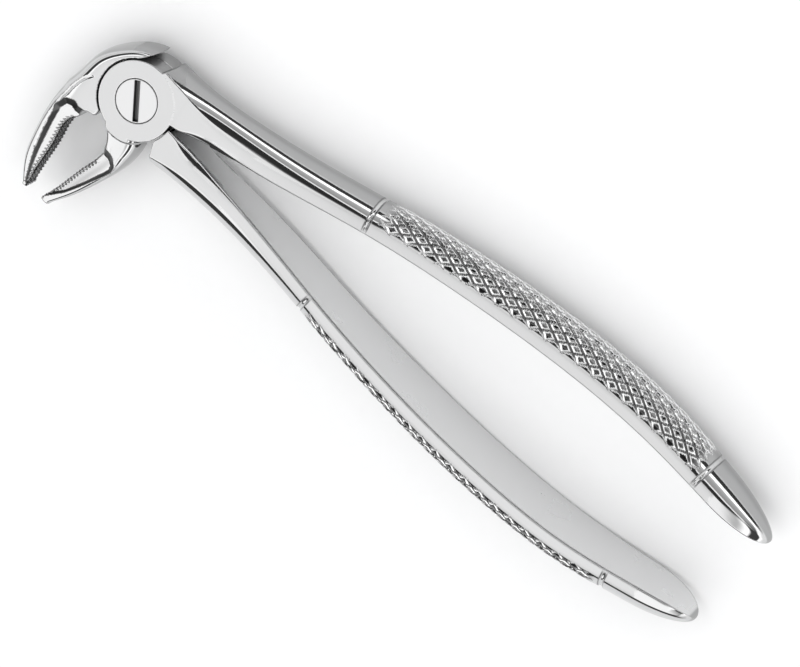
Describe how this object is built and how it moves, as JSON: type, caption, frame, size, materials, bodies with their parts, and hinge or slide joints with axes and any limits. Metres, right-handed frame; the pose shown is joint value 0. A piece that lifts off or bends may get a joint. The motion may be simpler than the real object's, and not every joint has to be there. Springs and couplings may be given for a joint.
{
  "type": "dental extraction forceps",
  "caption": "Steel forceps for lower teeth: two forged levers crossing at a slotted screw, curved knurled handles and hooked serrated beaks.",
  "frame": {"origin": "on the screw's axis, at the back face of the joint", "axes": "+Z along the screw towards its head, +X between the handles towards their ends, +Y towards the front half's handle; the beaks point along -Y"},
  "size_m": [0.1624, 0.0519, 0.0145],
  "materials": {
    "front_steel": "mirror polished forging, satin joint face",
    "rear_steel": "mirror polished forging, satin joint face",
    "screw_steel": "satin"
  },
  "bodies": {
    "rear": {"rear_half": "rear_steel", "pivot_screw": "screw_steel"},
    "front": {"front_half": "front_steel"}
  },
  "joints": [
    {"name": "pivot", "type": "hinge", "parent": "rear", "child": "front", "pos_m": [0, 0, 0.0048], "axis": [0, 0, 1], "range_deg": [-3.5, 16]}
  ]
}
